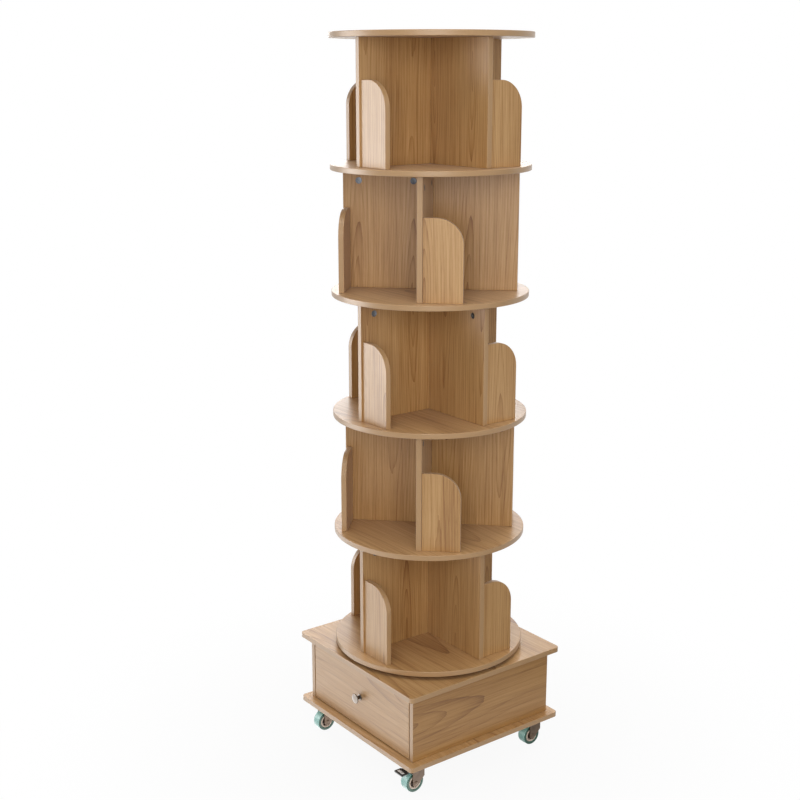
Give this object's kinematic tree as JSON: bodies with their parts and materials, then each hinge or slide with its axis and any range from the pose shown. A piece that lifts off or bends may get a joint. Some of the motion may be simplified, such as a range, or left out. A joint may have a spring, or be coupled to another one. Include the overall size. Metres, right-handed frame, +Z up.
{
  "type": "revolving bookcase",
  "caption": "Round wooden bookcase tower with crossed dividers and rounded bookends, turning on a square drawer base with casters.",
  "frame": {"origin": "on the floor under the tower's axis, at the middle of the square base", "axes": "+Z up along the tower's axis, -Y out of the drawer front, +X to the right of the drawer front"},
  "size_m": [0.462, 0.466, 1.726],
  "materials": {
    "oak_board": "light oak melamine, satin",
    "drawer_board": "pale board, satin",
    "nickel": "polished nickel",
    "zinc": "zinc plated",
    "bronze_fork": "bronze grey, satin",
    "mint_wheel": "mint polyurethane, satin",
    "black_pedal": "black, satin"
  },
  "bodies": {
    "base": {"base_bottom_panel": "oak_board", "base_left_side": "oak_board", "base_right_side": "oak_board", "base_back_panel": "oak_board", "base_top_panel": "oak_board", "bearing_lower_plate": "zinc", "bearing_ball_cage": "zinc"},
    "tower": {"disc_1": "oak_board", "disc_2": "oak_board", "disc_3": "oak_board", "disc_4": "oak_board", "disc_5": "oak_board", "disc_6": "oak_board", "tier_1_divider_lower": "oak_board", "tier_1_divider_upper": "oak_board", "tier_1_bookend_1": "oak_board", "tier_1_bookend_2": "oak_board", "tier_1_bookend_3": "oak_board", "tier_1_bookend_4": "oak_board", "tier_2_divider_lower": "oak_board", "tier_2_divider_upper": "oak_board", "tier_2_bookend_1": "oak_board", "tier_2_bookend_2": "oak_board", "tier_2_bookend_3": "oak_board", "tier_2_bookend_4": "oak_board", "tier_3_divider_lower": "oak_board", "tier_3_divider_upper": "oak_board", "tier_3_bookend_1": "oak_board", "tier_3_bookend_2": "oak_board", "tier_3_bookend_3": "oak_board", "tier_3_bookend_4": "oak_board", "tier_4_divider_lower": "oak_board", "tier_4_divider_upper": "oak_board", "tier_4_bookend_1": "oak_board", "tier_4_bookend_2": "oak_board", "tier_4_bookend_3": "oak_board", "tier_4_bookend_4": "oak_board", "tier_5_divider_lower": "oak_board", "tier_5_divider_upper": "oak_board", "tier_5_bookend_1": "oak_board", "tier_5_bookend_2": "oak_board", "tier_5_bookend_3": "oak_board", "tier_5_bookend_4": "oak_board", "bearing_upper_plate": "zinc"},
    "drawer": {"drawer_front": "oak_board", "drawer_left_side": "drawer_board", "drawer_right_side": "drawer_board", "drawer_back": "drawer_board", "drawer_bottom": "drawer_board", "drawer_knob": "nickel"},
    "caster_front_left_swivel": {"caster_front_left_fork": "bronze_fork"},
    "caster_front_left_roller": {"caster_front_left_wheel": "mint_wheel"},
    "caster_front_right_swivel": {"caster_front_right_fork": "bronze_fork"},
    "caster_front_right_roller": {"caster_front_right_wheel": "mint_wheel"},
    "caster_front_right_pedal": {"caster_front_right_brake_pedal": "black_pedal"},
    "caster_rear_left_swivel": {"caster_rear_left_fork": "bronze_fork"},
    "caster_rear_left_roller": {"caster_rear_left_wheel": "mint_wheel"},
    "caster_rear_left_pedal": {"caster_rear_left_brake_pedal": "black_pedal"},
    "caster_rear_right_swivel": {"caster_rear_right_fork": "bronze_fork"},
    "caster_rear_right_roller": {"caster_rear_right_wheel": "mint_wheel"}
  },
  "joints": [
    {"name": "tower_spin", "type": "hinge", "parent": "base", "child": "tower", "pos_m": [0, 0, 0.26775], "axis": [0, 0, 1], "continuous": true},
    {"name": "drawer_slide", "type": "slide", "parent": "base", "child": "drawer", "axis": [0, -1, 0], "range_m": [0, 0.26]},
    {"name": "caster_front_left_swivel", "type": "hinge", "parent": "base", "child": "caster_front_left_swivel", "pos_m": [-0.185, -0.185, 0.065], "axis": [0, 0, 1], "continuous": true},
    {"name": "caster_front_left_roll", "type": "hinge", "parent": "caster_front_left_swivel", "child": "caster_front_left_roller", "pos_m": [-0.185, -0.193, 0.02479], "axis": [1, 0, 0], "continuous": true},
    {"name": "caster_front_right_swivel", "type": "hinge", "parent": "base", "child": "caster_front_right_swivel", "pos_m": [0.185, -0.185, 0.065], "axis": [0, 0, 1], "continuous": true},
    {"name": "caster_front_right_roll", "type": "hinge", "parent": "caster_front_right_swivel", "child": "caster_front_right_roller", "pos_m": [0.185, -0.193, 0.02479], "axis": [1, 0, 0], "continuous": true},
    {"name": "caster_front_right_brake_press", "type": "hinge", "parent": "caster_front_right_swivel", "child": "caster_front_right_pedal", "pos_m": [0.185, -0.2014, 0.05479], "axis": [1, 0, 0], "range_deg": [0, 15]},
    {"name": "caster_rear_left_swivel", "type": "hinge", "parent": "base", "child": "caster_rear_left_swivel", "pos_m": [-0.185, 0.185, 0.065], "axis": [0, 0, 1], "continuous": true},
    {"name": "caster_rear_left_roll", "type": "hinge", "parent": "caster_rear_left_swivel", "child": "caster_rear_left_roller", "pos_m": [-0.185, 0.177, 0.02479], "axis": [1, 0, 0], "continuous": true},
    {"name": "caster_rear_left_brake_press", "type": "hinge", "parent": "caster_rear_left_swivel", "child": "caster_rear_left_pedal", "pos_m": [-0.185, 0.1686, 0.05479], "axis": [1, 0, 0], "range_deg": [0, 15]},
    {"name": "caster_rear_right_swivel", "type": "hinge", "parent": "base", "child": "caster_rear_right_swivel", "pos_m": [0.185, 0.185, 0.065], "axis": [0, 0, 1], "continuous": true},
    {"name": "caster_rear_right_roll", "type": "hinge", "parent": "caster_rear_right_swivel", "child": "caster_rear_right_roller", "pos_m": [0.185, 0.177, 0.02479], "axis": [1, 0, 0], "continuous": true}
  ]
}
